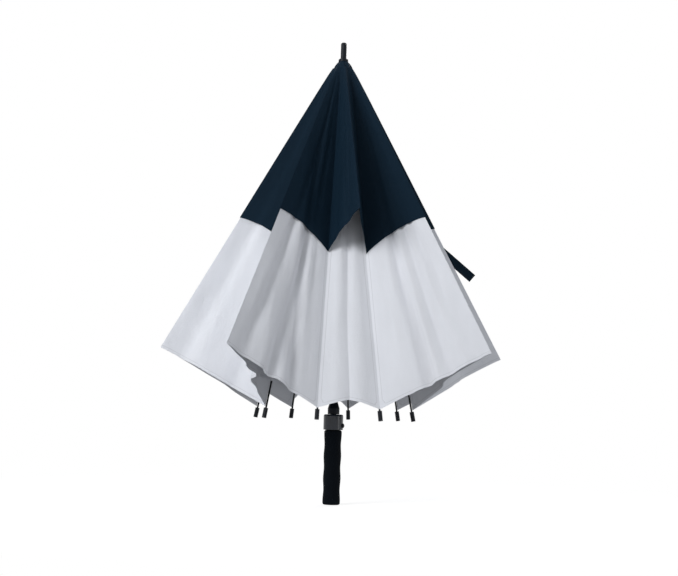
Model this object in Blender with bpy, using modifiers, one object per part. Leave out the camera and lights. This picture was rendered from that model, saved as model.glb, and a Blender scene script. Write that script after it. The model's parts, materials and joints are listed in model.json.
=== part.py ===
"""Golf umbrella with a vented double canopy, closed and latched, standing on the line of its shaft.

Metres, +Z up. The grip's butt is at the origin and the ferrule is at the top. Eight ribs hang from a
notch ring. A stretcher ties each rib to the runner, and rib and stretcher make an isosceles triangle
with the shaft, so the runner slides straight as they open. Each rib carries two half panels of each
canopy. They turn about the rib, from folded outwards into lobes to flat in the open canopy.
"""

import math

import bmesh
import bpy
from mathutils import Matrix, Vector

# Handle, from the butt up
GRIP_LENGTH = 0.153
GRIP_RADIUS = 0.0182
GRIP_FLOOR = 0.006
GRIP_ROUNDING = 0.004
GRIP_SWELL = 0.0012
COLLAR_LENGTH = 0.032
COLLAR_RADIUS = 0.0205
COLLAR_ROUNDING = 0.0035
BUTTON_RADIUS = 0.0045
BUTTON_PROUD = 0.0034
BUTTON_TRAVEL = 0.0025
BUTTON_FLANGE = 0.0014
BUTTON_HEIGHT = 0.009
BUTTON_AZIMUTH = math.radians(-20)
BUTTON_WIRE_RADIUS = 0.0003
BUTTON_COILS = 3

# Shaft and what slides on it or caps it
SHAFT_RADIUS = 0.0065
SHAFT_WALL = 0.001
RUNNER_LENGTH = 0.047
RUNNER_BASE_WALL = 0.00545
RUNNER_WAIST_WALL = 0.0017
RUNNER_BASE_HEIGHT = 0.012
RUNNER_TAPER = 0.012
CAP_WALL = 0.0037
CAP_LENGTH = 0.006
CAP_RISE = 0.009
FERRULE_LENGTH = 0.036
SPIGOT_LENGTH = 0.012
PLUG_LENGTH = 0.010
DRIVE_PIN_RADIUS = 0.001
DRIVE_PIN_HEIGHT = 0.013
SPRING_WIRE_RADIUS = 0.0006
SPRING_COILS = 22

# Linkage
RIB_COUNT = 8
FIRST_RIB_AZIMUTH = math.radians(-11.25)
RIB_LENGTH = 0.762
RIB_RADIUS = 0.0019
LINK_LENGTH = 0.3536
REST_SPLAY = math.radians(11.5)
OPEN_SPLAY = math.radians(58.5)
PIVOT_WIRE_RADIUS = 0.0006
EYE_RADIUS = 0.0018
EYE_THICKNESS = 0.0024
RING_RIM = 0.0025
RING_HEIGHT = 0.010
RING_WALL = 0.0014
STRETCHER_RADIUS = 0.0016
EAR_THICKNESS = 0.001
TIP_RADIUS = 0.0045
TIP_LENGTH = 0.020

# Cloth
CLOTH_THICKNESS = 0.0006
LAYER_GAP = 0.0002
LOWER_START = 0.300
LOWER_MID_RISE = 0.039
TIP_CLEARANCE = 0.003
UPPER_START = 0.012
UPPER_RIB_LENGTH = 0.419
UPPER_MID_LENGTH = 0.385
STRAP_LENGTH = 0.115
STRAP_WIDTH = 0.017
STRAP_START = 0.430
STRAP_OVERLAP = 0.048
STRAP_SLANT = math.radians(50)
STRAP_RIB = 2

# Fits
GAP = 0.0003
SIDES = 32

# Heights and distances that follow from the sizes above
COLLAR_Z = GRIP_LENGTH + GAP
RUNNER_Z = COLLAR_Z + COLLAR_LENGTH + GAP
BORE_RADIUS = SHAFT_RADIUS + GAP
PIVOT_CIRCLE = BORE_RADIUS + RING_WALL + EYE_RADIUS
RING_RADIUS = PIVOT_CIRCLE + RING_RIM
SHAFT_BORE = SHAFT_RADIUS - SHAFT_WALL
CAP_RADIUS = BORE_RADIUS + CAP_WALL
FERRULE_RADIUS = SHAFT_RADIUS - GAP
RUNNER_PIVOT_Z = RUNNER_Z + RUNNER_LENGTH - RING_HEIGHT / 2
NOTCH_Z = RUNNER_PIVOT_Z + 2 * LINK_LENGTH * math.cos(REST_SPLAY)
CAP_Z = NOTCH_Z + RING_HEIGHT / 2 + CAP_RISE
FERRULE_Z = CAP_Z + CAP_LENGTH + GAP
RUNNER_TRAVEL = 2 * LINK_LENGTH * (math.cos(REST_SPLAY) - math.cos(OPEN_SPLAY))
DRIVE_PIN_Z = RUNNER_Z + DRIVE_PIN_HEIGHT
HOLE_RADIUS = PIVOT_WIRE_RADIUS + GAP
SLOT_WIDTH = EYE_THICKNESS + 2 * GAP
EAR_INNER = EYE_THICKNESS / 2 + GAP
SADDLE_HALF_WIDTH = EAR_INNER + EAR_THICKNESS
SADDLE_LENGTH = 0.012
SADDLE_DEPTH = 0.0012
RIB_OFFSET = EYE_RADIUS + GAP + RIB_RADIUS + SADDLE_DEPTH + GAP
ROD_START = RING_HEIGHT / 2 + 0.003
TAB_END = ROD_START + 0.006

# Where the cloth turns about the rib, and how wide a half panel is
HALF_SECTOR = math.pi / RIB_COUNT
LOWER_OFFSET = RIB_OFFSET + RIB_RADIUS + LAYER_GAP + CLOTH_THICKNESS / 2
UPPER_LIFT = CLOTH_THICKNESS + LAYER_GAP
LOWER_RIB_LENGTH = RIB_LENGTH - TIP_LENGTH - TIP_CLEARANCE
LOWER_MID_LENGTH = LOWER_RIB_LENGTH - LOWER_MID_RISE


def sector(splay):
    """How far a line square to the rib reaches towards the mid-plane, and its lean, at this splay."""
    across, lean = math.cos(HALF_SECTOR), math.sin(HALF_SECTOR) * math.cos(splay)
    return math.hypot(across, lean), math.atan2(lean, across)


def cloth_radius(along, splay):
    return PIVOT_CIRCLE + LOWER_OFFSET * math.cos(splay) + along * math.sin(splay)


def half_width(along):
    """Width of a half panel square to its rib: in the open canopy it just reaches the mid-plane."""
    return math.sin(HALF_SECTOR) * cloth_radius(along, OPEN_SPLAY) / sector(OPEN_SPLAY)[0]


def along_at(mid_length):
    """Distance along the rib of the point of the fold line this far down it."""
    slope = math.sin(HALF_SECTOR) * math.sin(OPEN_SPLAY) / sector(OPEN_SPLAY)[0]
    return mid_length / math.hypot(1, slope)


def fold_angle(splay, along):
    """Tilt of a half panel out of the plane square to the rib, when it meets its neighbour here."""
    reach, lean = sector(splay)
    ratio = math.sin(HALF_SECTOR) * cloth_radius(along, splay) / (reach * half_width(along))
    return math.acos(min(ratio, 1)) - lean


REST_FOLD = fold_angle(REST_SPLAY, along_at(LOWER_MID_LENGTH))
# Folded, two half panels lie nearly face to face, so their thickness sets how far short each one stops
FOLD_GAP = (CLOTH_THICKNESS / 2 + GAP) / math.cos(REST_FOLD + sector(REST_SPLAY)[1])


def clear_scene():
    for obj in list(bpy.data.objects):
        bpy.data.objects.remove(obj)


def collection(name, hidden=False):
    made = bpy.data.collections.new(name)
    bpy.context.scene.collection.children.link(made)
    made.hide_render = hidden
    return made


def principled(name, color, roughness, metallic=0.0):
    made = bpy.data.materials.new(name)
    made.use_nodes = True
    shader = made.node_tree.nodes["Principled BSDF"]
    shader.inputs["Base Color"].default_value = (*color, 1)
    shader.inputs["Roughness"].default_value = roughness
    shader.inputs["Metallic"].default_value = metallic
    made.diffuse_color = (*color, 1)
    return made


def add_object(name, data, material, matrix=None, parent=None):
    """A part whose matrix is its place in the world, also under a parent."""
    obj = bpy.data.objects.new(name, data)
    PARTS.objects.link(obj)
    if material:
        data.materials.append(material)
    if parent:
        obj.parent = parent
        obj.matrix_parent_inverse = parent.matrix_world.inverted()
    obj.matrix_world = matrix or Matrix()
    return obj


def pivot(name, matrix):
    """An empty on a joint's axis, for the pieces that turn or slide there."""
    empty = bpy.data.objects.new(name, None)
    empty.empty_display_size = 0.01
    PARTS.objects.link(empty)
    empty.matrix_world = matrix
    bpy.context.view_layer.update()
    return empty


def turned(name, outline, material, ring=False, sides=SIDES, matrix=None, parent=None):
    """Turns (radius, z) points about Z. A solid runs down from axis to axis, a ring is a closed loop."""
    mesh = bpy.data.meshes.new(name)
    edges = [(i, i + 1) for i in range(len(outline) - 1)]
    if ring:
        edges.append((len(outline) - 1, 0))
    mesh.from_pydata([(radius, 0, z) for radius, z in outline], edges, [])
    obj = add_object(name, mesh, material, matrix, parent)
    screw = obj.modifiers.new("turn", "SCREW")
    screw.steps = screw.render_steps = sides
    screw.use_merge_vertices = True
    screw.merge_threshold = 0.00001
    return obj


def arc(center_r, center_z, radius, start, stop, count=5):
    """Points of an arc in the (radius, z) plane, from one angle to the other in degrees."""
    angles = [math.radians(start + (stop - start) * i / (count - 1)) for i in range(count)]
    return [(center_r + radius * math.cos(a), center_z + radius * math.sin(a)) for a in angles]


def block(bm, low, high):
    """A box between two corners."""
    size = [b - a for a, b in zip(low, high)]
    middle = [(a + b) / 2 for a, b in zip(low, high)]
    bmesh.ops.create_cube(bm, size=1, matrix=Matrix.LocRotScale(middle, None, size))


def rod(bm, start, end, radius, sides=12):
    """A round bar between two points."""
    start, end = Vector(start), Vector(end)
    turn = Vector((0, 0, 1)).rotation_difference(end - start).to_matrix().to_4x4()
    bmesh.ops.create_cone(
        bm, cap_ends=True, segments=sides, radius1=radius, radius2=radius,
        depth=(end - start).length, matrix=Matrix.Translation((start + end) / 2) @ turn)


def helper(name, draw, *arguments):
    """A hidden mesh for a Boolean, drawn by a function that fills a bmesh."""
    bm = bmesh.new()
    draw(bm, *arguments)
    mesh = bpy.data.meshes.new(name)
    bm.to_mesh(mesh)
    bm.free()
    obj = bpy.data.objects.new(name, mesh)
    obj.display_type = "WIRE"
    CUTTERS.objects.link(obj)
    return obj


def boolean(obj, other, operation):
    """Cuts or joins with a helper that lies in the object's own coordinates."""
    other.matrix_world = obj.matrix_world
    step = obj.modifiers.new(operation.lower(), "BOOLEAN")
    step.operation = operation
    step.solver = "EXACT"
    step.object = other


def coil(name, radius, wire, bottom, top, turns, material, matrix=None, parent=None):
    """A coil spring along Z, between two heights of its wire's outside."""
    points_per_turn = 10
    count = turns * points_per_turn + 1
    curve = bpy.data.curves.new(name, "CURVE")
    curve.dimensions = "3D"
    curve.bevel_depth = wire
    curve.bevel_resolution = 1
    curve.use_fill_caps = True
    spline = curve.splines.new("POLY")
    spline.points.add(count - 1)
    for i, point in enumerate(spline.points):
        angle = 2 * math.pi * i / points_per_turn
        z = bottom + wire + (top - bottom - 2 * wire) * i / (count - 1)
        point.co = (radius * math.cos(angle), radius * math.sin(angle), z, 1)
    return add_object(name, curve, material, matrix, parent)


def outline_plate(name, corners, thickness, material, matrix, parent):
    """A flat sheet: a closed outline in its own XY plane, thickened both ways."""
    curve = bpy.data.curves.new(name, "CURVE")
    curve.dimensions = "2D"
    curve.fill_mode = "BOTH"
    curve.extrude = thickness / 2
    spline = curve.splines.new("POLY")
    spline.points.add(len(corners) - 1)
    spline.use_cyclic_u = True
    for point, (x, y) in zip(spline.points, corners):
        point.co = (x, y, 0, 1)
    return add_object(name, curve, material, matrix, parent)


def make_grip():
    """Foam grip: a closed butt, rounded ends, and three soft swells along it."""
    r, top, rounding = GRIP_RADIUS, GRIP_LENGTH, GRIP_ROUNDING
    steps = 24
    heights = [top - 2 * rounding - (top - 4 * rounding) * i / steps for i in range(steps + 1)]
    side = [(r - GRIP_SWELL * (1 - math.cos(6 * math.pi * i / steps)) / 2, z) for i, z in enumerate(heights)]
    outline = [(BORE_RADIUS, GRIP_FLOOR), (BORE_RADIUS, top)]
    outline += arc(r - rounding, top - rounding, rounding, 90, 0)
    outline += side + arc(r - rounding, rounding, rounding, 0, -90)
    outline += [(0, 0)]
    turned("grip", [(0, GRIP_FLOOR)] + outline, FOAM)


def make_collar():
    """Handle collar, with a stepped pocket across it for the push button."""
    low, high, r, round_by = COLLAR_Z, COLLAR_Z + COLLAR_LENGTH, COLLAR_RADIUS, COLLAR_ROUNDING
    outline = [(BORE_RADIUS, high)] + arc(r - round_by, high - round_by, round_by, 90, 0)
    outline += arc(r - 0.001, low + 0.001, 0.001, 0, -90, 3) + [(BORE_RADIUS, low)]
    collar = turned("handle_collar", outline, GREY_PLASTIC, ring=True, sides=48)
    out = Matrix.Rotation(BUTTON_AZIMUTH, 3, "Z") @ Vector((1, 0, 0))
    height = Vector((0, 0, BUTTON_Z))
    pocket = helper("button_pocket", rod, height + out * POCKET_FLOOR, height + out * POCKET_END,
                    FLANGE_RADIUS + GAP, 24)
    mouth = helper("button_mouth", rod, height + out * (POCKET_END - 0.001),
                   height + out * (COLLAR_RADIUS + 0.005), BUTTON_RADIUS + GAP, 24)
    boolean(collar, pocket, "DIFFERENCE")
    boolean(collar, mouth, "DIFFERENCE")


# The button's pocket, measured out from the shaft's axis
BUTTON_Z = COLLAR_Z + BUTTON_HEIGHT
FLANGE_RADIUS = BUTTON_RADIUS + 0.0012
POCKET_FLOOR = BORE_RADIUS + 0.0012
BUTTON_SPRING_ROOM = BUTTON_TRAVEL + 2 * BUTTON_COILS * BUTTON_WIRE_RADIUS
POCKET_END = POCKET_FLOOR + 2 * GAP + BUTTON_SPRING_ROOM + BUTTON_FLANGE + GAP


def make_button():
    """Push button with a flange that keeps it in, and its return spring behind it."""
    out = Matrix.Rotation(BUTTON_AZIMUTH, 4, "Z") @ Matrix.Rotation(math.pi / 2, 4, "Y")
    place = Matrix.Translation((0, 0, BUTTON_Z)) @ out
    slide = pivot("button_slide", place)
    back, face = POCKET_END - GAP - BUTTON_FLANGE, COLLAR_RADIUS + BUTTON_PROUD
    outline = [(0, face), (BUTTON_RADIUS * 0.6, face - 0.0002), (BUTTON_RADIUS, face - 0.0014)]
    outline += [(BUTTON_RADIUS, back + BUTTON_FLANGE), (FLANGE_RADIUS, back + BUTTON_FLANGE)]
    outline += [(FLANGE_RADIUS, back), (0, back)]
    turned("push_button", outline, BLACK_PLASTIC, sides=24, matrix=place, parent=slide)
    coil("button_spring", BUTTON_RADIUS - 0.0008, BUTTON_WIRE_RADIUS, POCKET_FLOOR + GAP, back - GAP,
         BUTTON_COILS, STEEL, place)


def make_shaft():
    """Hollow shaft with two long slots that the runner's drive pin slides in, and its bottom plug."""
    low, high = GRIP_FLOOR + GAP, CAP_Z + CAP_LENGTH
    outline = [(SHAFT_RADIUS, high), (SHAFT_RADIUS, low), (SHAFT_BORE, low), (SHAFT_BORE, high)]
    shaft = turned("shaft", outline, SHAFT_PAINT, ring=True)
    half = DRIVE_PIN_RADIUS + GAP
    reach = SHAFT_RADIUS * 1.5
    boolean(shaft, helper("shaft_slots", block, (-half, -reach, DRIVE_PIN_Z - 3 * half),
                          (half, reach, DRIVE_PIN_Z + RUNNER_TRAVEL + 3 * half)), "DIFFERENCE")
    plug = SHAFT_BORE - GAP
    turned("spring_plug", [(0, low + PLUG_LENGTH), (plug, low + PLUG_LENGTH), (plug, low), (0, low)],
           GREY_PLASTIC)
    coil("opening_spring", SHAFT_BORE - GAP - SPRING_WIRE_RADIUS, SPRING_WIRE_RADIUS,
         low + PLUG_LENGTH + GAP, DRIVE_PIN_Z - DRIVE_PIN_RADIUS - GAP, SPRING_COILS, STEEL)


def draw_slots(bm, low, high):
    """A slot for the eye of each rib or stretcher, from the ring's wall outwards."""
    inner, outer = BORE_RADIUS + RING_WALL, RING_RADIUS * 1.5
    for i in range(RIB_COUNT):
        angle = FIRST_RIB_AZIMUTH + 2 * math.pi * i / RIB_COUNT
        start = len(bm.verts)
        block(bm, (inner, -SLOT_WIDTH / 2, low), (outer, SLOT_WIDTH / 2, high))
        bm.verts.ensure_lookup_table()
        bmesh.ops.rotate(bm, cent=(0, 0, 0), matrix=Matrix.Rotation(angle, 3, "Z"), verts=bm.verts[start:])


def draw_pivot_wire(bm, z):
    """The ring of wire that every eye turns on."""
    rounds, sides = 48, 6
    rings = []
    for i in range(rounds):
        turn = Matrix.Rotation(2 * math.pi * i / rounds, 3, "Z")
        angles = [2 * math.pi * j / sides for j in range(sides)]
        rings.append([bm.verts.new(turn @ Vector((
            PIVOT_CIRCLE + PIVOT_WIRE_RADIUS * math.cos(a), 0, z + PIVOT_WIRE_RADIUS * math.sin(a))))
            for a in angles])
    for i in range(rounds):
        a, b = rings[i], rings[(i + 1) % rounds]
        for j in range(sides):
            k = (j + 1) % sides
            bm.faces.new((a[j], b[j], b[k], a[k]))


def make_notch():
    """Top notch: a slotted ring fixed on the shaft, with its pivot wire."""
    low, high = NOTCH_Z - RING_HEIGHT / 2, NOTCH_Z + RING_HEIGHT / 2
    outline = [(RING_RADIUS, high), (RING_RADIUS, low), (BORE_RADIUS, low), (BORE_RADIUS, high)]
    notch = turned("top_notch", outline, BLACK_PLASTIC, ring=True)
    boolean(notch, helper("notch_slots", draw_slots, low - 0.002, high + 0.002), "DIFFERENCE")
    boolean(notch, helper("notch_wire", draw_pivot_wire, NOTCH_Z), "UNION")


def make_runner():
    """Runner: a waisted sleeve with the slotted ring at its top and the drive pin through its base."""
    low, high = RUNNER_Z, RUNNER_Z + RUNNER_LENGTH
    ring_low = high - RING_HEIGHT
    base, waist = BORE_RADIUS + RUNNER_BASE_WALL, BORE_RADIUS + RUNNER_WAIST_WALL
    shoulder = low + RUNNER_BASE_HEIGHT
    outline = [(RING_RADIUS, high), (RING_RADIUS, ring_low), (waist, ring_low - (RING_RADIUS - waist))]
    outline += [(waist, shoulder + RUNNER_TAPER), (base, shoulder)]
    outline += [(base, low), (BORE_RADIUS, low), (BORE_RADIUS, high)]
    runner = turned("runner", outline, BLACK_PLASTIC, ring=True, parent=pivot(
        "runner_slide", Matrix.Translation((0, 0, RUNNER_PIVOT_Z))))
    boolean(runner, helper("runner_slots", draw_slots, ring_low, high + 0.002), "DIFFERENCE")
    boolean(runner, helper("runner_wire", draw_pivot_wire, RUNNER_PIVOT_Z), "UNION")
    reach = (BORE_RADIUS + base) / 2
    boolean(runner, helper("drive_pin", rod, (0, -reach, DRIVE_PIN_Z), (0, reach, DRIVE_PIN_Z),
                           DRIVE_PIN_RADIUS), "UNION")


def make_cap_and_ferrule():
    """Canopy cap on the shaft's end, and the ferrule whose spigot closes the tube."""
    low, high = CAP_Z, CAP_Z + CAP_LENGTH
    outline = [(BORE_RADIUS, high), (CAP_RADIUS * 0.85, high), (CAP_RADIUS, high - 0.0015)]
    outline += [(CAP_RADIUS, low), (BORE_RADIUS, low)]
    turned("canopy_cap", outline, BLACK_PLASTIC, ring=True)
    base, r = FERRULE_Z, FERRULE_RADIUS
    tip = base + FERRULE_LENGTH
    spigot = SHAFT_BORE - GAP
    outline = [(0, tip)] + arc(r - 0.004, tip - 0.004, 0.004, 80, 0, 5) + [(r, base + 0.004)]
    outline += [(SHAFT_RADIUS, base), (spigot, base)]
    outline += [(spigot, base - SPIGOT_LENGTH), (0, base - SPIGOT_LENGTH)]
    turned("ferrule", outline, BLACK_PLASTIC)


def eye_hole(name, at):
    half = SADDLE_HALF_WIDTH * 2
    return helper(name, rod, (at, -half, 0), (at, half, 0), HOLE_RADIUS)


def rib_frame(i):
    """A rib's place: X down the rib, Y round the shaft, Z out of the canopy, at the notch pivot."""
    around = Matrix.Rotation(FIRST_RIB_AZIMUTH + 2 * math.pi * i / RIB_COUNT, 4, "Z")
    out = Matrix.Translation((PIVOT_CIRCLE, 0, NOTCH_Z))
    return around @ out @ Matrix.Rotation(math.pi / 2 - REST_SPLAY, 4, "Y")


def make_rib(i):
    """Rib: an eye, a rod that stands off the pivot line, ears and pin for the stretcher, and a tip cap."""
    name = f"rib_{i + 1}"
    place = rib_frame(i)
    bm = bmesh.new()
    rod(bm, (ROD_START, 0, RIB_OFFSET), (RIB_LENGTH - TIP_LENGTH / 2, 0, RIB_OFFSET), RIB_RADIUS, 10)
    mesh = bpy.data.meshes.new(name)
    bm.to_mesh(mesh)
    bm.free()
    rib = add_object(name, mesh, FIBREGLASS, place, pivot(f"{name}_hinge", place))
    half, thick = EYE_RADIUS, EYE_THICKNESS / 2
    boolean(rib, helper(f"{name}_tab", block, (0, -thick, -half), (TAB_END, thick, RIB_OFFSET)), "UNION")
    boolean(rib, helper(f"{name}_eye", rod, (0, -thick, 0), (0, thick, 0), half, 16), "UNION")
    boolean(rib, eye_hole(f"{name}_hole", 0), "DIFFERENCE")
    start, end = LINK_LENGTH - SADDLE_LENGTH / 2, LINK_LENGTH + SADDLE_LENGTH / 2
    saddle = helper(f"{name}_saddle", block, (start, -SADDLE_HALF_WIDTH, EYE_RADIUS + GAP),
                    (end, SADDLE_HALF_WIDTH, RIB_OFFSET + RIB_RADIUS / 2))
    boolean(rib, saddle, "UNION")
    for side in (-1, 1):
        inner, outer = sorted((side * EAR_INNER, side * SADDLE_HALF_WIDTH))
        ear = helper(f"{name}_ear", block, (LINK_LENGTH - half, inner, -half),
                     (LINK_LENGTH + half, outer, EYE_RADIUS + 2 * GAP))
        boolean(rib, ear, "UNION")
    middle = EAR_INNER + EAR_THICKNESS / 2
    boolean(rib, helper(f"{name}_pin", rod, (LINK_LENGTH, -middle, 0), (LINK_LENGTH, middle, 0),
                        PIVOT_WIRE_RADIUS), "UNION")
    boolean(rib, helper(f"{name}_tip", rod, (RIB_LENGTH - TIP_LENGTH, 0, RIB_OFFSET),
                        (RIB_LENGTH, 0, RIB_OFFSET), TIP_RADIUS), "UNION")


def make_stretcher(i):
    """Stretcher: a rod with a flat eye at each end, from the rib's pin down to the runner's wire."""
    name = f"stretcher_{i + 1}"
    turn = Matrix.Rotation(2 * REST_SPLAY, 4, "Y")
    place = rib_frame(i) @ Matrix.Translation((LINK_LENGTH, 0, 0)) @ turn
    bm = bmesh.new()
    reach = TAB_END - 0.002
    rod(bm, (reach - 0.004, 0, 0), (LINK_LENGTH - reach + 0.004, 0, 0), STRETCHER_RADIUS, 10)
    mesh = bpy.data.meshes.new(name)
    bm.to_mesh(mesh)
    bm.free()
    stretcher = add_object(name, mesh, STEEL, place, pivot(f"{name}_hinge", place))
    thick, half = EYE_THICKNESS / 2, STRETCHER_RADIUS * 0.9
    for at, inward in ((0, reach), (LINK_LENGTH, LINK_LENGTH - reach)):
        low, high = sorted((at, inward))
        boolean(stretcher, helper(f"{name}_tab", block, (low, -thick, -half), (high, thick, half)), "UNION")
        eye = helper(f"{name}_eye", rod, (at, -thick, 0), (at, thick, 0), EYE_RADIUS, 16)
        boolean(stretcher, eye, "UNION")
        boolean(stretcher, eye_hole(f"{name}_hole", at), "DIFFERENCE")


def half_panel(start, rib_length, mid_length, lift):
    """Outline of a half panel this far off the cloth's line: X down the rib, Y from rib to fold."""
    thick_side = (lift + CLOTH_THICKNESS / 2) * math.sin(REST_FOLD)
    seam_gap = (thick_side + GAP / 4) / math.cos(REST_FOLD)
    fold_start, fold_end = along_at(start), along_at(mid_length)
    return [(start, seam_gap), (rib_length, seam_gap),
            (fold_end, half_width(fold_end) - FOLD_GAP), (fold_start, half_width(fold_start) - FOLD_GAP)]


def flap_frame(i, side):
    """Place of a rib's half panels: X down the rib, Y towards the fold, on the cloth's line."""
    tilt = REST_FOLD if side > 0 else math.pi - REST_FOLD
    return rib_frame(i) @ Matrix.Translation((0, 0, LOWER_OFFSET)) @ Matrix.Rotation(tilt, 4, "X")


def make_flaps(i):
    """The lower and the upper half panel on each side of a rib, on one pivot line."""
    for side, word in ((1, "left"), (-1, "right")):
        place = flap_frame(i, side)
        hinge = pivot(f"flap_{i + 1}_{word}_hinge", place)
        lower = half_panel(LOWER_START, LOWER_RIB_LENGTH, LOWER_MID_LENGTH, 0)
        outline_plate(f"lower_canopy_{i + 1}_{word}", lower, CLOTH_THICKNESS, WHITE_CLOTH, place, hinge)
        upper = half_panel(UPPER_START, UPPER_RIB_LENGTH, UPPER_MID_LENGTH, UPPER_LIFT)
        lifted = place @ Matrix.Translation((0, 0, side * UPPER_LIFT))
        outline_plate(f"upper_canopy_{i + 1}_{word}", upper, CLOTH_THICKNESS, NAVY_CLOTH, lifted, hinge)


def make_strap():
    """Closing strap: sewn on the lower cloth near a fold, and free beyond it."""
    side = -1
    place = flap_frame(STRAP_RIB - 1, side)
    edge = Vector((STRAP_START, half_width(STRAP_START), side * UPPER_LIFT))
    slant = Matrix.Rotation(math.pi / 2 - STRAP_SLANT, 4, "Z")
    at = place @ Matrix.Translation(edge) @ slant
    half = STRAP_WIDTH / 2
    corners = [(-STRAP_OVERLAP, -half), (STRAP_LENGTH - STRAP_OVERLAP, -half),
               (STRAP_LENGTH - STRAP_OVERLAP, half), (-STRAP_OVERLAP, half)]
    outline_plate("closing_strap", corners, CLOTH_THICKNESS, NAVY_CLOTH, at,
                  bpy.data.objects[f"flap_{STRAP_RIB}_right_hinge"])


clear_scene()
PARTS = collection("golf_umbrella")
CUTTERS = collection("cutters", hidden=True)
FOAM = principled("foam", (0.006, 0.008, 0.011), 0.85)
GREY_PLASTIC = principled("grey_plastic", (0.055, 0.065, 0.08), 0.25)
BLACK_PLASTIC = principled("black_plastic", (0.006, 0.009, 0.013), 0.4)
SHAFT_PAINT = principled("shaft_paint", (0.01, 0.012, 0.016), 0.35)
FIBREGLASS = principled("fibreglass", (0.006, 0.009, 0.013), 0.45)
STEEL = principled("steel", (0.35, 0.36, 0.38), 0.3, 1.0)
WHITE_CLOTH = principled("white_cloth", (0.66, 0.68, 0.72), 0.75)
NAVY_CLOTH = principled("navy_cloth", (0.0075, 0.0176, 0.0331), 0.7)
make_grip()
make_collar()
make_button()
make_shaft()
make_notch()
make_runner()
make_cap_and_ferrule()
for rib_index in range(RIB_COUNT):
    make_rib(rib_index)
    make_stretcher(rib_index)
    make_flaps(rib_index)
make_strap()
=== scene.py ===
# %% [markdown]
# # Golf umbrella: cloth over a fixed frame
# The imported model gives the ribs, stretchers, runner, shaft and handle as they really move.
# The whole umbrella could be modelled again for its looks, but it would then move differently. So
# this scene keeps those solids, finishes their surfaces, and builds only what is soft: the two
# canopies and the strap, as thin cloth in place of the flat solids that the physics uses.

# %% Load the frame
import json
import math

import bpy
import numpy as np
from mathutils import Matrix, Vector

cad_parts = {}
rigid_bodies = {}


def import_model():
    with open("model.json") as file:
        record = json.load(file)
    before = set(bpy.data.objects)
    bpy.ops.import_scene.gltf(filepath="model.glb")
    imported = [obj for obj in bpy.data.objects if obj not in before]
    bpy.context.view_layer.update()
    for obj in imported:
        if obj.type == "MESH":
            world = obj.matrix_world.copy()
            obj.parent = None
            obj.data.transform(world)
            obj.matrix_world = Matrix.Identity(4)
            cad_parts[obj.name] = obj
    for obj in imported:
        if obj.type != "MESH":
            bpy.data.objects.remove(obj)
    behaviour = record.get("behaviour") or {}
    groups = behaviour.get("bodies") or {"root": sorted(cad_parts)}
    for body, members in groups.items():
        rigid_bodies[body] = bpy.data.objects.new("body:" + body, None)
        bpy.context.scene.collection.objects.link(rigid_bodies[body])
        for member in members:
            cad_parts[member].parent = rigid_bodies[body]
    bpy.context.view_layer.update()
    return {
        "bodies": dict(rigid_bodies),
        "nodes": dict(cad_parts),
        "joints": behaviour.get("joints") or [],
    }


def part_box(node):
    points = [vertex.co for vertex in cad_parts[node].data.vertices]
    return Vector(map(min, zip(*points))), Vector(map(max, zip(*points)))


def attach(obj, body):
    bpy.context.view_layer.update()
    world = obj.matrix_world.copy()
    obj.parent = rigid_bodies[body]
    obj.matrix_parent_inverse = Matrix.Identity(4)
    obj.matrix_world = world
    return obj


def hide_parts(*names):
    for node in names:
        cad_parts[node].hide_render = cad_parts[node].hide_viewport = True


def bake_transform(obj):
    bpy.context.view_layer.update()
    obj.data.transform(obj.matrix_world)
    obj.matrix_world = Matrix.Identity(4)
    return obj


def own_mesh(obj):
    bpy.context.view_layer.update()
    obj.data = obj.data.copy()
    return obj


for leftover in list(bpy.data.objects):
    bpy.data.objects.remove(leftover)
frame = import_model()
nodes = frame["nodes"]
joints = {joint["name"]: joint for joint in frame["joints"]}
rib_count = sum(name.startswith("rib_") for name in frame["bodies"])
print("frame:", len(nodes), "nodes,", len(joints), "joints,", rib_count, "ribs")

# %% [markdown]
# ## What the linkage says about the cloth
# On an umbrella the cloth is sewn along each rib and swings about it. Its measures could be written
# here a second time, but the joints already hold them: a flap's hinge gives the cloth's line beside
# the rib, and its range gives how far it swings from the folded lobe to the flat, open canopy.

# %% Read the linkage
rib_hinge = joints["rib_1_hinge"]
fold_hinge = joints["flap_1_right_fold"]
rest_splay = math.acos(-fold_hinge["axis"][2])
open_splay = rest_splay + math.radians(rib_hinge["range_deg"][1])
pivot_circle = math.hypot(*rib_hinge["pos_m"][:2])
cloth_offset = (Vector(fold_hinge["pos_m"]) - Vector(rib_hinge["pos_m"])).length
half_sector = math.pi / rib_count


def sector(splay):
    """How far a line square to the rib reaches towards the mid-plane, and its lean."""
    across, lean = math.cos(half_sector), math.sin(half_sector) * math.cos(splay)
    return math.hypot(across, lean), math.atan2(lean, across)


def cloth_radius(along, splay):
    return pivot_circle + cloth_offset * math.cos(splay) + along * math.sin(splay)


def half_width(along):
    """Flat width of a half panel, square to the rib: open, it reaches the panel's middle."""
    return math.sin(half_sector) * cloth_radius(along, open_splay) / sector(open_splay)[0]


open_angle = -sector(open_splay)[1]


def rib_frame(number):
    """Place of a rib's cloth line: X down the rib, Y round the shaft, Z outwards."""
    hinge = joints[f"flap_{number}_right_fold"]
    down = Vector(hinge["axis"])
    out = (Vector(hinge["pos_m"]) - Vector(joints[f"rib_{number}_hinge"]["pos_m"])).normalized()
    place = Matrix((down, out.cross(down), out)).transposed().to_4x4()
    place.translation = hinge["pos_m"]
    return place


print("splay", round(math.degrees(rest_splay), 1), "to", round(math.degrees(open_splay), 1))

# %% [markdown]
# ## Helpers for shader nodes
# Every finish is a tree of nodes. A tree could be drawn by hand in the editor, but a few helpers that
# each add one kind of node keep the code short. An effect that several finishes use becomes a node
# group, which is built once and placed in each of them with its own values.

# %% Node helpers


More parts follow.
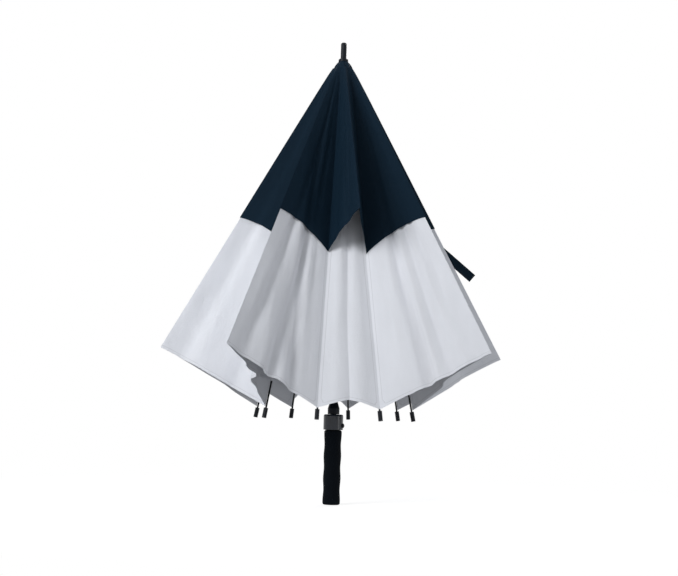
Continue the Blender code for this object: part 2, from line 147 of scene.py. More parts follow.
def group(name, inputs, outputs):
    """A new shader group with named float, vector or colour sockets."""
    made = bpy.data.node_groups.new(name, "ShaderNodeTree")
    for label, kind, value in inputs:
        socket = made.interface.new_socket(label, in_out="INPUT", socket_type=kind)
        if value is not None:
            socket.default_value = value
    for label, kind in outputs:
        made.interface.new_socket(label, in_out="OUTPUT", socket_type=kind)
    return made, made.nodes.new("NodeGroupInput"), made.nodes.new("NodeGroupOutput")


def math_node(tree, operation, first, second=None):
    """A Math node, each operand a socket or a number."""
    node = tree.nodes.new("ShaderNodeMath")
    node.operation = operation
    for slot, value in enumerate((first, second)):
        if isinstance(value, (int, float)):
            node.inputs[slot].default_value = value
        elif value is not None:
            tree.links.new(value, node.inputs[slot])
    return node.outputs[0]


def noise(tree, vector, scale, detail=3.0, roughness=0.5):
    node = tree.nodes.new("ShaderNodeTexNoise")
    node.inputs["Scale"].default_value = scale
    node.inputs["Detail"].default_value = detail
    node.inputs["Roughness"].default_value = roughness
    tree.links.new(vector, node.inputs["Vector"])
    return node.outputs["Fac"]


def mixed(tree, factor, first, second):
    """A Mix Shader from one shader to another."""
    node = tree.nodes.new("ShaderNodeMixShader")
    for slot, socket in enumerate((factor, first, second)):
        tree.links.new(socket, node.inputs[slot])
    return node.outputs[0]


def looked_at(tree):
    """1 for the camera, reflections and sight through glass, 0 for light that falls on things."""
    path = tree.nodes.new("ShaderNodeLightPath")
    seen = path.outputs["Is Camera Ray"]
    for ray in ("Is Glossy Ray", "Is Transmission Ray"):
        seen = math_node(tree, "MAXIMUM", seen, path.outputs[ray])
    return seen


effects = {}
print("helpers:", ", ".join(helper.__name__ for helper in (group, math_node, noise, mixed, looked_at)))

# %% [markdown]
# ## Weave
# The canopy is a plain weave of fine threads, coated on one side. An image could give the threads,
# but sine waves along and across the cloth need no file and keep their size. Two noises add the
# crinkle of cloth that is often folded, and the broad one is drawn out down the panel, as folds are.
# The broad one also darkens the colour a little in the crinkle's hollows, as painted shade.

# %% Weave group
THREAD = 0.0006
THREAD_HEIGHT = 0.02
FINE_CRINKLE = 0.35
DRAWN_OUT = (1.0, 0.28, 1.0)


def weave_group():
    """Threads and crinkle of a panel, and painted shade in the crinkle's hollows, from its pattern in
    metres.
    """
    tree, given, result = group(
        "Weave",
        [("Pattern", "NodeSocketVector", None), ("Thread", "NodeSocketFloat", THREAD),
         ("Crinkle", "NodeSocketFloat", 0.5)],
        [("Height", "NodeSocketFloat"), ("Shade", "NodeSocketFloat")])
    link = tree.links.new
    split = tree.nodes.new("ShaderNodeSeparateXYZ")
    link(given.outputs["Pattern"], split.inputs[0])
    turns = math_node(tree, "DIVIDE", 2 * math.pi, given.outputs["Thread"])
    warp = math_node(tree, "SINE", math_node(tree, "MULTIPLY", split.outputs["X"], turns))
    weft = math_node(tree, "SINE", math_node(tree, "MULTIPLY", split.outputs["Y"], turns))
    threads = math_node(tree, "MULTIPLY", warp, weft)
    drawn_out = tree.nodes.new("ShaderNodeVectorMath")
    drawn_out.operation = "MULTIPLY"
    drawn_out.inputs[1].default_value = DRAWN_OUT
    link(given.outputs["Pattern"], drawn_out.inputs[0])
    broad = noise(tree, drawn_out.outputs[0], 24.0, 4.0, 0.55)
    fine = noise(tree, given.outputs["Pattern"], 70.0, 3.0, 0.5)
    crinkle = math_node(tree, "MULTIPLY_ADD", fine, FINE_CRINKLE)
    link(broad, crinkle.node.inputs[2])
    folds = math_node(tree, "MULTIPLY", crinkle, given.outputs["Crinkle"])
    height = math_node(tree, "MULTIPLY_ADD", threads, THREAD_HEIGHT)
    link(folds, height.node.inputs[2])
    link(height, result.inputs["Height"])
    # Painted shade: the colour is darker where the broad noise is low, in the crinkle's hollows.
    shade = math_node(tree, "MULTIPLY_ADD", broad, 0.16)
    shade.node.inputs[2].default_value = 0.92
    link(shade, result.inputs["Shade"])
    return tree


effects["weave"] = weave_group()
print("weave: threads", 1000 * THREAD, "mm apart")

# %% [markdown]
# ## Wear
# Hands polish plastic in some places and dull it in others. Scratches could be modelled, but they
# are far smaller than a face, so one noise moves the roughness up and down instead, and a finer one
# gives the faint texture of a moulded or painted skin.

# %% Wear group


def wear_group():
    """Handling marks: a roughness and a height that vary over a moulded or painted part."""
    tree, given, result = group(
        "Wear",
        [("Position", "NodeSocketVector", None), ("Roughness", "NodeSocketFloat", 0.4),
         ("Amount", "NodeSocketFloat", 0.12)],
        [("Roughness", "NodeSocketFloat"), ("Height", "NodeSocketFloat")])
    link = tree.links.new
    patches = noise(tree, given.outputs["Position"], 60.0, 4.0, 0.6)
    spread = math_node(tree, "MULTIPLY", math_node(tree, "SUBTRACT", patches, 0.5), given.outputs["Amount"])
    link(math_node(tree, "ADD", given.outputs["Roughness"], spread), result.inputs["Roughness"])
    link(noise(tree, given.outputs["Position"], 900.0, 2.0), result.inputs["Height"])
    return tree


effects["wear"] = wear_group()
print("wear:", len(effects["wear"].nodes), "nodes")

# %% [markdown]
# ## Foam grain
# The grip is closed-cell foam: a thin skin over small cells. Real pits would take many thousands of
# faces, so a cell pattern gives their height, and a broad noise gives the patches that a hand darkens.

# %% Grain group


def grain_group():
    """Closed-cell foam: small pits under a smooth skin."""
    tree, given, result = group(
        "Grain", [("Position", "NodeSocketVector", None), ("Cell", "NodeSocketFloat", 900.0)],
        [("Height", "NodeSocketFloat"), ("Mask", "NodeSocketFloat")])
    cells = tree.nodes.new("ShaderNodeTexVoronoi")
    tree.links.new(given.outputs["Position"], cells.inputs["Vector"])
    tree.links.new(given.outputs["Cell"], cells.inputs["Scale"])
    tree.links.new(cells.outputs["Distance"], result.inputs["Height"])
    tree.links.new(noise(tree, given.outputs["Position"], 40.0), result.inputs["Mask"])
    return tree


effects["grain"] = grain_group()
print("effects:", ", ".join(tree.name for tree in effects.values()))

# %% [markdown]
# ## Materials
# Each finish is one Principled shader, with what varies over the surface linked from a shared group.
# It could all be one large material with switches, but a short function for each kind of finish is
# easier to read. These three helpers are what every finish needs.

# %% Material helpers


def new_material(name):
    made = bpy.data.materials.new(name)
    made.use_nodes = True
    return made, made.node_tree, made.node_tree.nodes["Principled BSDF"]


def add_group(tree, effect, **values):
    node = tree.nodes.new("ShaderNodeGroup")
    node.node_tree = effects[effect]
    for label, value in values.items():
        node.inputs[label].default_value = value
    return node


def bump(tree, shader, height, distance, strength=1.0):
    node = tree.nodes.new("ShaderNodeBump")
    node.inputs["Strength"].default_value = strength
    node.inputs["Distance"].default_value = distance
    tree.links.new(height, node.inputs["Height"])
    tree.links.new(node.outputs["Normal"], shader.inputs["Normal"])


print("material helpers ready")

# %% [markdown]
# ## Cloth
# Both canopies are the same coated cloth in two colours. The weave could be placed by an image map,
# but here the material reads the panel's UV map, which holds metres of the flat cut, so a thread is
# as wide on every panel. The distance from the nearest sewn edge darkens one line of stitching, and
# the weave's painted shade darkens the colour a little in the crinkle's hollows.

# %% Cloth material
STITCH_FROM_EDGE = 0.006
STITCH_HALF_WIDTH = 0.0007


def cloth_material(name, color, roughness, crinkle, shine):
    """Thin coated cloth: weave, crinkle with painted shade in its hollows, and a darker line of stitching
    beside the seam and hem.
    """
    made, tree, shader = new_material(name)
    uv = tree.nodes.new("ShaderNodeUVMap")
    uv.uv_map = "pattern"
    weave = add_group(tree, "weave", Crinkle=crinkle)
    tree.links.new(uv.outputs["UV"], weave.inputs["Pattern"])
    edge = tree.nodes.new("ShaderNodeAttribute")
    edge.attribute_name = "edge"
    stitch = math_node(tree, "COMPARE", edge.outputs["Fac"], STITCH_FROM_EDGE)
    stitch.node.inputs[2].default_value = STITCH_HALF_WIDTH
    # The colour takes the weave's painted shade of the crinkle, and is darker again on the stitch line.
    band = math_node(tree, "MULTIPLY_ADD", stitch, -0.14)
    tree.links.new(weave.outputs["Shade"], band.node.inputs[2])
    tint = tree.nodes.new("ShaderNodeMix")
    tint.data_type = "RGBA"
    tint.blend_type = "MULTIPLY"
    tint.inputs["Factor"].default_value = 1.0
    tint.inputs["A"].default_value = (*color, 1)
    tree.links.new(band, tint.inputs["B"])
    tree.links.new(tint.outputs["Result"], shader.inputs["Base Color"])
    shader.inputs["Roughness"].default_value = roughness
    shader.inputs["Specular IOR Level"].default_value = shine
    bump(tree, shader, weave.outputs["Height"], 0.009, 0.7)
    return made


white_cloth = cloth_material("white_pongee", (0.76, 0.78, 0.83), 0.62, 0.5, 0.3)
navy_cloth = cloth_material("navy_pongee", (0.0050, 0.0155, 0.029), 0.55, 0.5, 0.06)
print("cloth:", white_cloth.name, navy_cloth.name)

# %% [markdown]
# ## Plastic, paint and steel
# The hard parts are moulded plastic, fibreglass rod, painted tube and plated wire. They differ only
# in colour, roughness, metal, clear coat and shine, so one function makes them all and the wear
# group keeps any of them from looking new. It reads the part's own place, so it needs no UV map.

# %% Hard materials


def hard_material(name, color, roughness, metallic=0.0, coat=0.0, shine=0.12, amount=0.12):
    """Plastic, paint or metal with handling marks."""
    made, tree, shader = new_material(name)
    place = tree.nodes.new("ShaderNodeTexCoord")
    wear = add_group(tree, "wear", Roughness=roughness, Amount=amount)
    tree.links.new(place.outputs["Object"], wear.inputs["Position"])
    shader.inputs["Base Color"].default_value = (*color, 1)
    shader.inputs["Metallic"].default_value = metallic
    shader.inputs["Specular IOR Level"].default_value = shine
    shader.inputs["Coat Weight"].default_value = coat
    tree.links.new(wear.outputs["Roughness"], shader.inputs["Roughness"])
    bump(tree, shader, wear.outputs["Height"], 0.00003, 0.15)
    return made


black_plastic = hard_material("black_plastic", (0.004, 0.006, 0.010), 0.38)
black_rod = hard_material("fibreglass_rod", (0.006, 0.008, 0.011), 0.42)
black_paint = hard_material("shaft_paint", (0.008, 0.010, 0.014), 0.3, coat=0.4)
grey_gloss = hard_material(
    "collar_plastic", (0.012, 0.017, 0.026), 0.1, coat=0.15, shine=0.3, amount=0.06)
plated_steel = hard_material("plated_steel", (0.42, 0.43, 0.45), 0.3, metallic=1.0)
hard_finishes = (black_plastic, black_rod, black_paint, grey_gloss, plated_steel)
print("hard finishes:", ", ".join(made.name for made in hard_finishes))

# %% [markdown]
# ## Foam
# The grip's foam is matt and nearly black, with almost no reflection. Two dark blues mixed by the
# grain's mask keep it from being one flat colour, and its pits are bump, as they are too fine to model.

# %% Foam material


def foam_material():
    made, tree, shader = new_material("grip_foam")
    place = tree.nodes.new("ShaderNodeTexCoord")
    grain = add_group(tree, "grain")
    tree.links.new(place.outputs["Object"], grain.inputs["Position"])
    shade = tree.nodes.new("ShaderNodeMix")
    shade.data_type = "RGBA"
    shade.inputs["A"].default_value = (0.0010, 0.0018, 0.0030, 1)
    shade.inputs["B"].default_value = (0.0030, 0.0048, 0.0075, 1)
    tree.links.new(grain.outputs["Mask"], shade.inputs["Factor"])
    tree.links.new(shade.outputs["Result"], shader.inputs["Base Color"])
    shader.inputs["Roughness"].default_value = 0.78
    shader.inputs["Specular IOR Level"].default_value = 0.05
    bump(tree, shader, grain.outputs["Height"], 0.0004, 0.5)
    return made


foam = foam_material()
print("materials:", len(bpy.data.materials))

# %% [markdown]
# ## Hard parts keep their solids
# The ribs, stretchers, shaft, handle and their fittings already have their real shape, so every node
# that isn't cloth is shown as it was made, with its own finish. Round parts are made of flat faces.
# More faces would smooth them, but smooth shading that stops at sharp edges does so at no cost.

# %% Finish the hard parts
SHARP_EDGE = math.radians(32)


def finish_of(name):
    if name == "grip":
        return foam
    if name in ("handle_collar", "spring_plug"):
        return grey_gloss
    if name == "shaft":
        return black_paint
    if name.startswith("rib_"):
        return black_rod
    if name.startswith("stretcher_") or name.endswith("_spring"):
        return plated_steel
    return black_plastic


hard_nodes = [name for name in nodes if "canopy_" not in name or name == "canopy_cap"]
hard_nodes.remove("closing_strap")
for name in hard_nodes:
    mesh = nodes[name].data
    mesh.materials.clear()
    mesh.materials.append(finish_of(name))
    mesh.polygons.foreach_set("use_smooth", [True] * len(mesh.polygons))
    mesh.set_sharp_from_angle(angle=SHARP_EDGE)
print("hard parts:", len(hard_nodes))

# %% [markdown]
# ## Return spring under the button
# The button's spring is pressed shorter as the button goes in. A rigid coil would stand through the
# button. The real one bends along its wire. Here a copy of the spring's solid takes its place, fixed
# to the root, and it keeps its full length as the button travels.

# %% Return spring
spring_solid = nodes["button_spring"]
return_spring = bpy.data.objects.new("return_spring", spring_solid.data.copy())
bpy.context.scene.collection.objects.link(return_spring)
return_spring.matrix_world = spring_solid.matrix_world
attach(return_spring, "root")
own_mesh(return_spring)
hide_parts("button_spring")

# %% [markdown]
# ## Pattern pieces
# Each canopy has eight panels, cut as long triangles with hollow hems and sewn together along the
# ribs. A panel could be one mesh, but each of its halves turns about a different rib, so the half
# panel is the piece here. Its flat cut is a grid of rows down the rib and columns across.

# %% Pattern pieces
ROWS, COLUMNS = 56, 20
CLOTH_LIFT = {"lower": 0.0, "upper": 0.0022}
SEAM_EASE = {"lower": 0.0, "upper": 0.0022}
CUT = {
    "lower": {"start": 0.285, "rib_end": 0.739, "mid_end": 0.700, "scallop": 1.15},
    "upper": {"start": 0.004, "rib_end": 0.419, "mid_end": 0.385, "scallop": 1.9},
}


def along_mid(mid_length):
    """Distance along the rib of a point this far down the fold."""
    slope = math.sin(half_sector) * math.sin(open_splay) / sector(open_splay)[0]
    return mid_length / math.hypot(1, slope)


def hem_line(layer, share):
    """Distance along the rib of the hem: cut hollow between the ribs, more so on the vent canopy."""
    cut = CUT[layer]
    middle = along_mid(cut["mid_end"])
    return middle + (cut["rib_end"] - middle) * (1 - share) ** cut["scallop"]


def flat_cut(layer):
    """Grid of flat pattern points: distance along the rib, distance from it, and both shares."""
    cut = CUT[layer]
    share = np.linspace(0, 1, COLUMNS)[None, :].repeat(ROWS, 0)
    down = np.linspace(0, 1, ROWS)[:, None].repeat(COLUMNS, 1)
    start = cut["start"] * (1 - share) + along_mid(cut["start"]) * share
    along = start + (hem_line(layer, share) - start) * down
    return along, share * (half_width(along) + SEAM_EASE[layer]), share, down


print("half widths at the hem:", {layer: round(float(flat_cut(layer)[1].max()), 3) for layer in CUT})

# %% [markdown]
# ## Turning cloth about its rib
# Every point of the cloth is turned about its rib by its own angle. It could be moved freely, but a
# turn keeps its distance from the rib, so the cloth neither stretches nor shrinks across.

# %% Turn about the rib


def flat_place(across, lift):
    """Distance and direction from the rib's line of a point of the flat, open cloth."""
    y, z = across * math.cos(open_angle), across * math.sin(open_angle) + lift
    return np.hypot(y, z), np.arctan2(z, y)


def turned_points(place, side, along, distance, turn):
    """Points at these distances from the rib's line, turned about it."""
    round_shaft, outwards = side * distance * np.cos(turn), distance * np.sin(turn)
    local = np.stack([along, round_shaft, outwards, np.ones_like(along)], -1)
    return (local.reshape(-1, 4) @ np.array(place).T)[:, :3]


print("open cloth leans", round(math.degrees(open_angle), 1), "degrees from square")

# %% [markdown]
# ## Folds of the closed canopy
# Closed, the cloth between two ribs stands out as a lobe with a sharp fold down its middle. There
# the turn is the one that meets the neighbouring half. Between rib and fold the cloth sags and has
# soft creases. A cloth simulation could shape them, but nothing in it keeps each point's distance
# from the rib. The sag is limited by the room in the lobe, so that it stays off the lobe's far side.

# %% Fold and creases
CREASES = 5
HANG_LENGTH = 0.7
COVER_MARGIN = 0.008
COVER_FADE = 0.035
COVERED_SAG = 0.08
VENT_ROOM = 0.55


def lobe_angle(along, distance):
    """Turn about the rib at which cloth this far from it meets its neighbour in the panel's middle."""
    reach, lean = sector(rest_splay)
    share = math.sin(half_sector) * cloth_radius(along, rest_splay) / (reach * distance)
    return np.arccos(np.clip(share, -1, 1)) - lean


def crease(share, along, at, slant, width, depth):
    """Depth of one soft crease: a valley that runs down the panel and slants across it."""
    line = at + slant * (along - 0.4)
    return depth * np.exp(-((share - line) / width) ** 2)


def fold_shape(number, side, layer, along, share):
    """Tilt of each point of a lobe about its rib, in the closed umbrella."""
    draw = np.random.default_rng(100 * number + 10 * (side > 0))
    lift = CLOTH_LIFT[layer]
    width = half_width(along) + SEAM_EASE[layer]
    ridge = lobe_angle(along, flat_place(width, lift)[0])
    ridge = ridge - np.arcsin(lift * np.cos(ridge) / width)
    hang = np.clip(along / HANG_LENGTH, 0, 1)
    covered = 1.0
    if layer == "lower":
        covered = np.clip((hem_line("upper", share) - along + COVER_MARGIN) / COVER_FADE, 0, 1)
    covered = covered ** 2 * (3 - 2 * covered)
    belly = np.sin(np.pi * share)
    inward = draw.uniform(0.02, 0.07) * belly * (0.4 + 0.6 * hang)
    for _ in range(CREASES):
        at, slant = draw.uniform(0.15, 0.9), draw.uniform(-0.6, 0.6)
        spread, depth = draw.uniform(0.03, 0.075), draw.uniform(0.07, 0.19)
        one = crease(share, along, at, slant, spread, depth)
        inward = inward + one * belly ** 0.5 * (1 - 0.7 * covered)
    inward = inward + 0.03 * np.sin(share * 9 + along * 21 + 6 * draw.random()) * belly * hang
    room = np.sin(math.pi / 2 - sector(rest_splay)[1] - ridge) * (1 - share) / np.maximum(share, 0.05)
    if layer == "lower":
        inward = inward + COVERED_SAG * covered * belly ** 0.5
        room = room * (0.9 + 0.05 * covered)
    else:
        room = room * VENT_ROOM
    return ridge - room * np.tanh(inward / np.maximum(room, 1e-6))


tip_turn = fold_shape(1, 1, "lower", np.array([[0.7]]), np.array([[1.0]])).item()
print("fold near the hem turned", round(math.degrees(tip_turn), 1), "degrees")

# %% [markdown]
# ## Tucked front panel
# One panel isn't pulled out into a lobe. It lies folded back between its two ribs, with its spare
# width inside the next lobes. It could be left as a lobe like the others, but the closed umbrella is
# flatter here. Its halves bulge a little, turn back and cross at the valley, and go on behind.

# %% Tucked front panel
TUCKED = [(7, 1), (8, -1)]
TUCK_BULGE = math.radians(15)
TUCK_DEPTH = 0.009


def tucked_shape(number, along, across):
    """Tilt of the front panel's points: out from the rib, back at the middle, then inside the next rib."""
    chord = 2 * math.sin(half_sector) * cloth_radius(along, rest_splay)
    halves = 2 * across / chord
    bulge = TUCK_BULGE * np.sin(np.pi * np.clip(halves, 0, 1))
    turned_in = np.arctan(TUCK_DEPTH / chord) * np.clip(halves - 1, 0, 1)
    ripple = 0.03 * np.sin(8 * halves + 17 * along + number) * np.clip(halves, 0, 1)
    return bulge - turned_in + ripple - sector(rest_splay)[1]


print("tucked halves:", len(TUCKED))

# %% [markdown]
# ## A mesh from a pattern
# A half panel is a regular grid, so its faces need no modelling tool: four neighbours make a quad.
# It could be a subdivided plane, but the grid keeps row and column known, which the pattern map, the
# distance from the sewn edge and the flat area all use.

# %% Cloth mesh


def grid_mesh(name, points, rows, columns, flip):
    """A quad grid, wound so that its outer face is the canopy's outer face."""
    corner = np.arange(rows * columns).reshape(rows, columns)
    quads = np.stack([corner[:-1, :-1], corner[1:, :-1], corner[1:, 1:], corner[:-1, 1:]], -1).reshape(-1, 4)
    mesh = bpy.data.meshes.new(name)
    mesh.from_pydata(points.tolist(), [], (quads[:, ::-1] if flip else quads).tolist())
    mesh.polygons.foreach_set("use_smooth", [True] * len(mesh.polygons))
    obj = bpy.data.objects.new(name, mesh)
    bpy.context.scene.collection.objects.link(obj)
    return obj


def write_pattern(obj, along, across, edge):
    """UV in metres of the flat cut, and the distance from the nearest sewn edge."""
    mesh = obj.data
    uv = mesh.uv_layers.new(name="pattern")
    index = np.empty(len(mesh.loops), int)
    mesh.loops.foreach_get("vertex_index", index)
    flat = np.stack([across.ravel(), along.ravel()], -1)[index]
    uv.data.foreach_set("uv", flat.astype(np.float32).ravel())
    attribute = mesh.attributes.new("edge", "FLOAT", "POINT")
    attribute.data.foreach_set("value", edge.astype(np.float32).ravel())


print("quads in a half panel:", (ROWS - 1) * (COLUMNS - 1))

# %% [markdown]
# ## Make the half panels
# The cloth is sewn to its rib on one side and swings out on the other as the umbrella opens. Here
# each half panel is built only in its closed shape, as a mesh fixed in place; the turn that each point
# needs to lie flat when open is worked out but not used.

# %% Make the half panels


def half_panel(number, side, layer, material):
    """One half panel of one canopy, in its closed shape."""
    word = "left" if side > 0 else "right"
    along, across, share, down = flat_cut(layer)
    lift = CLOTH_LIFT[layer]
    if layer == "lower" and (number, side) in TUCKED:
        angle = tucked_shape(number, along, across)
    else:
        angle = fold_shape(number, side, layer, along, share)
    distance, open_turn = flat_place(across, lift)
    turn = np.arctan2(across * np.sin(angle) + lift, across * np.cos(angle))
    points = turned_points(rib_frame(number), side, along, distance, turn)
    obj = grid_mesh(f"{layer}_cloth_{number}_{word}", points, ROWS, COLUMNS, side < 0)
    obj.data.materials.append(material)
    length = along[-1, 0] - along[0, 0]
    hem = (1 - down) * length
    edge = np.minimum(across, hem)
    write_pattern(obj, along, across, edge)
    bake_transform(obj)
    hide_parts(f"{layer}_canopy_{number}_{word}")
    return obj


panels = [half_panel(number, side, layer, material)
          for layer, material in (("lower", white_cloth), ("upper", navy_cloth))
          for number in range(1, rib_count + 1) for side in (1, -1)]
print("half panels:", len(panels))

# %% [markdown]
# ## Gathered cloth under the cap
# The vent canopy's panels run together under the cap, where the cloth is pleated and held. The half
# panels could be made longer, but they lie along the ribs and the cap stays with the shaft. So eight
# small pleated pieces close the cone between the two.

# %% Gathered cloth under the cap
GATHER_ALONG = 0.007
GATHER_ROWS, GATHER_COLUMNS = 10, 17
GATHER_TOP = 0.0095
GATHER_LIFT = 0.0007
PLEAT_BULGE, PLEAT_DEPTH = 0.0009, 0.0004
cap_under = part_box("canopy_cap")[0][2]


def gathered_piece(number):
    """Cloth from under the cap down to the top of one rib's two vent half panels."""
    lift = CLOTH_LIFT["upper"] + GATHER_LIFT
    across = np.linspace(0, float(half_width(GATHER_ALONG)), GATHER_COLUMNS // 2 + 1)
    along = np.full_like(across, GATHER_ALONG)
    distance, turn = flat_place(across, lift)
    place = rib_frame(number)
    halves = [turned_points(place, side, along, distance, turn) for side in (-1, 1)]
    low_ring = np.concatenate([halves[0][:0:-1], halves[1]])
    azimuth = np.unwrap(np.arctan2(low_ring[:, 1], low_ring[:, 0]))
    low_radius = np.hypot(low_ring[:, 0], low_ring[:, 1])
    down = np.linspace(0, 1, GATHER_ROWS)[:, None]
    radius = GATHER_TOP + (low_radius - GATHER_TOP) * down ** 0.8
    radius = radius + np.sin(np.pi * down) * (PLEAT_BULGE + PLEAT_DEPTH * np.cos(3 * rib_count * azimuth))
    height = cap_under + (low_ring[:, 2] - cap_under) * down
    points = np.stack([radius * np.cos(azimuth), radius * np.sin(azimuth), height], -1).reshape(-1, 3)
    obj = grid_mesh(f"gathered_cloth_{number}", points, GATHER_ROWS, GATHER_COLUMNS, False)
    obj.data.materials.append(navy_cloth)
    arc = radius * (azimuth - azimuth[GATHER_COLUMNS // 2])
    slant = math.dist(points[0], points[-GATHER_COLUMNS])
    write_pattern(obj, down * slant + 0 * arc, arc, 0 * arc + 0.01)
    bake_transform(obj)
    return obj


gathers = [gathered_piece(number) for number in range(1, rib_count + 1)]
print("gathered pieces:", len(gathers))

# %% [markdown]
# ## Closing strap
# A strap of the same cloth, doubled and stitched round its edge, is sewn to the lower canopy. Its
# free end carries a patch of hook tape, which closes it round the rolled umbrella. It could be
# placed by numbers of its own, but its solid already lies where the strap hangs, so its middle and
# its three directions are measured from that.

# %% Read the strap's place
strap_solid = nodes["closing_strap"]
strap_corners = np.array([strap_solid.matrix_world @ vertex.co for vertex in strap_solid.data.vertices])
strap_centre = (strap_corners.min(0) + strap_corners.max(0)) / 2
strap_axes = np.linalg.svd(strap_corners - strap_corners.mean(0), full_matrices=False)[2]
if np.dot(strap_axes[0][:2], strap_centre[:2]) < 0:
    strap_axes[0] *= -1
if np.dot(strap_axes[2][:2], strap_centre[:2]) < 0:
    strap_axes[2] *= -1
strap_size = np.ptp((strap_corners - strap_centre) @ strap_axes.T, axis=0)
print("strap solid:", (1000 * strap_size).round(1).tolist(), "mm")

# %% [markdown]
# ## Strap and hook tape
# A strap could be a thin box, but webbing that hangs free curls towards its end and is a little
# crowned across. One function makes any strip along the strap, so the tape patch follows the same
# curl just above the cloth.

# %% Strap and hook tape
TAPE_LIFT = 0.0009
END_CURL, WAVE, CROWN = 0.0025, 0.0006, 0.0008


def ribbon(name, start, end, width, offset, material):
    """A strip of cloth along the strap, from one share of its length to another."""
    rows, columns = 36, 7
    u = np.linspace(start, end, rows)[:, None].repeat(columns, 1)
    v = np.linspace(-0.5, 0.5, columns)[None, :].repeat(rows, 0)
    curl = END_CURL * np.clip(u, 0, 1) ** 3 + WAVE * np.sin(9 * u) + CROWN * (1 - 4 * v ** 2)
    along, across = u * strap_size[0] / 2, v * width
    points = (strap_centre + along[..., None] * strap_axes[0] + across[..., None] * strap_axes[1]
              + (curl + offset)[..., None] * strap_axes[2])
    obj = grid_mesh(name, points.reshape(-1, 3), rows, columns, False)
    obj.data.materials.append(material)
    ends = np.minimum(along - along.min(), along.max() - along)
    write_pattern(obj, along, across, np.minimum(width / 2 - abs(across), ends) * 2)
    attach(obj, "flap_2_right")
    return obj, (width, float(np.ptp(along)))


hook_patch, _ = ribbon("hook_tape_patch", 0.62, 0.95, strap_size[1] * 0.8, TAPE_LIFT, black_plastic)
strap, strap_flat = ribbon("closing_strap_cloth", -1.0, 1.0, strap_size[1], 0.0, navy_cloth)
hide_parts("closing_strap")
print("strap:", [round(1000 * length, 1) for length in strap_flat], "mm")

# %% [markdown]
# ## Camera
# A long lens from 2.6 m away keeps the tall shape from spreading, and a low stand looks slightly up
# under the hem. The camera could be turned by angles, but aiming it at a point is easier to adjust.

# %% Camera
CAMERA_LENS = 66.1
CAMERA_PLACE = (0, -2.6, 0.19)
CAMERA_TARGET = (0.004, 0, 0.4494)
CAMERA_ROLL = math.radians(1.6)
scene = bpy.context.scene


def aim(obj, target, roll=0.0):
    """Turns a camera or a lamp to face a point."""
    direction = Vector(target) - obj.location
    obj.rotation_mode = "QUATERNION"
    turn = direction.to_track_quat("-Z", "Y").to_matrix() @ Matrix.Rotation(roll, 3, "Z")
    obj.rotation_quaternion = turn.to_quaternion()


camera = bpy.data.objects.new("camera", bpy.data.cameras.new("camera"))
scene.collection.objects.link(camera)
camera.data.lens = CAMERA_LENS
camera.location = CAMERA_PLACE
aim(camera, CAMERA_TARGET, CAMERA_ROLL)
scene.camera = camera
print("camera:", CAMERA_LENS, "mm lens at", CAMERA_PLACE)

# %% [markdown]
# ## Lights
# A large soft light on the left shapes the lobes, a weak one on the right opens their shadows, and
# one behind draws the edge. Sun lamps would be simpler, but their shadows are hard.

# %% Lights


def area_light(name, location, size, power):
    """A round soft light that faces the umbrella's middle."""
    light = bpy.data.lights.new(name, "AREA")
    light.shape = "DISK"
    light.size, light.energy = size, power
    obj = bpy.data.objects.new(name, light)
    scene.collection.objects.link(obj)
    obj.location = location
    aim(obj, (0, 0, 0.5))


area_light("key", (-1.4, -1.65, 1.3), 1.0, 38)
area_light("fill", (2.5, -1.2, 0.9), 1.8, 12)
area_light("rim", (0.6, 2.2, 2.0), 1.2, 24)
print("lights:", len(bpy.data.lights))

# %% [markdown]
# ## Background
# The background has to be white, but a sky that bright would wash the cloth out. It could be painted
# in afterwards. Here the world has two backgrounds: a plain white one for the camera and for
# reflections, and a dim, slightly blue one for the light that falls on things.

# %% Background
SKY_STRENGTH = 0.40
world = bpy.data.worlds.new("studio")
scene.world = world
world.use_nodes = True
sky_tree = world.node_tree
sky = sky_tree.nodes["Background"]
sky.inputs["Color"].default_value = (0.95, 0.97, 1.0, 1)
sky.inputs["Strength"].default_value = SKY_STRENGTH
white_sky = sky_tree.nodes.new("ShaderNodeBackground")
white_sky.inputs["Color"].default_value = (1, 1, 1, 1)
both_skies = mixed(sky_tree, looked_at(sky_tree), sky.outputs[0], white_sky.outputs[0])
sky_tree.links.new(both_skies, sky_tree.nodes["World Output"].inputs["Surface"])
scene.view_settings.view_transform = "Standard"
print("sky strength:", SKY_STRENGTH)

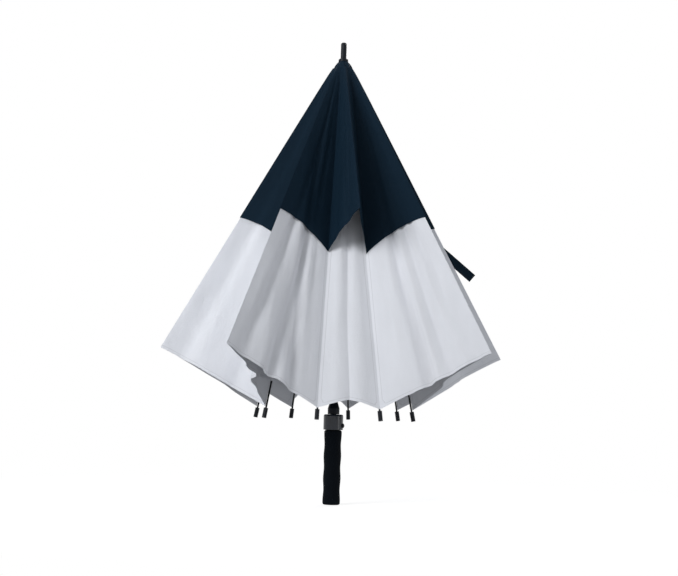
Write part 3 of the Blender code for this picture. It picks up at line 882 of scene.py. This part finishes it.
# %% [markdown]
# ## Floor
# A pale disc under the grip. It could be a large plane, but a disc whose look fades to white with
# distance has no horizon. Near the umbrella it is plain matt, so it keeps a faint shadow, and throws
# about as much light up as the sky does. From underneath it is clear, so the inside can be seen.

# %% Floor
FLOOR_RADIUS = 3.0
FLOOR_CLEARANCE = 0.0003
SHADOW_REACH = (0.5, 1.1)
FLOOR_SHADE = 0.45
FLOOR_LIFT = 0.72
bpy.ops.mesh.primitive_circle_add(
    vertices=96, radius=FLOOR_RADIUS, fill_type="NGON", location=(0, 0, -FLOOR_CLEARANCE))
floor = bpy.context.object
floor.name = "floor"
floor_material, tree, matt = new_material("floor_pale")
floor.data.materials.append(floor_material)
matt.inputs["Base Color"].default_value = (FLOOR_SHADE, FLOOR_SHADE, FLOOR_SHADE, 1)
matt.inputs["Roughness"].default_value = 0.9
matt.inputs["Specular IOR Level"].default_value = 0.0
lifted = tree.nodes.new("ShaderNodeEmission")
lifted.inputs["Strength"].default_value = FLOOR_LIFT
white = tree.nodes.new("ShaderNodeEmission")
matt_and_lift = tree.nodes.new("ShaderNodeAddShader")
tree.links.new(matt.outputs["BSDF"], matt_and_lift.inputs[0])
tree.links.new(lifted.outputs[0], matt_and_lift.inputs[1])
spot = tree.nodes.new("ShaderNodeTexCoord")
radius_node = tree.nodes.new("ShaderNodeVectorMath")
radius_node.operation = "LENGTH"
tree.links.new(spot.outputs["Object"], radius_node.inputs[0])
fade = tree.nodes.new("ShaderNodeMapRange")
fade.interpolation_type = "SMOOTHSTEP"
fade.inputs["From Min"].default_value, fade.inputs["From Max"].default_value = SHADOW_REACH
tree.links.new(radius_node.outputs["Value"], fade.inputs["Value"])
near_to_far = mixed(tree, fade.outputs["Result"], matt_and_lift.outputs[0], white.outputs[0])
from_above = mixed(tree, looked_at(tree), matt.outputs["BSDF"], near_to_far)
clear = tree.nodes.new("ShaderNodeBsdfTransparent")
side = tree.nodes.new("ShaderNodeNewGeometry")
both_sides = mixed(tree, side.outputs["Backfacing"], from_above, clear.outputs[0])
tree.links.new(both_sides, tree.nodes["Material Output"].inputs["Surface"])
print("floor:", FLOOR_RADIUS, "m radius")
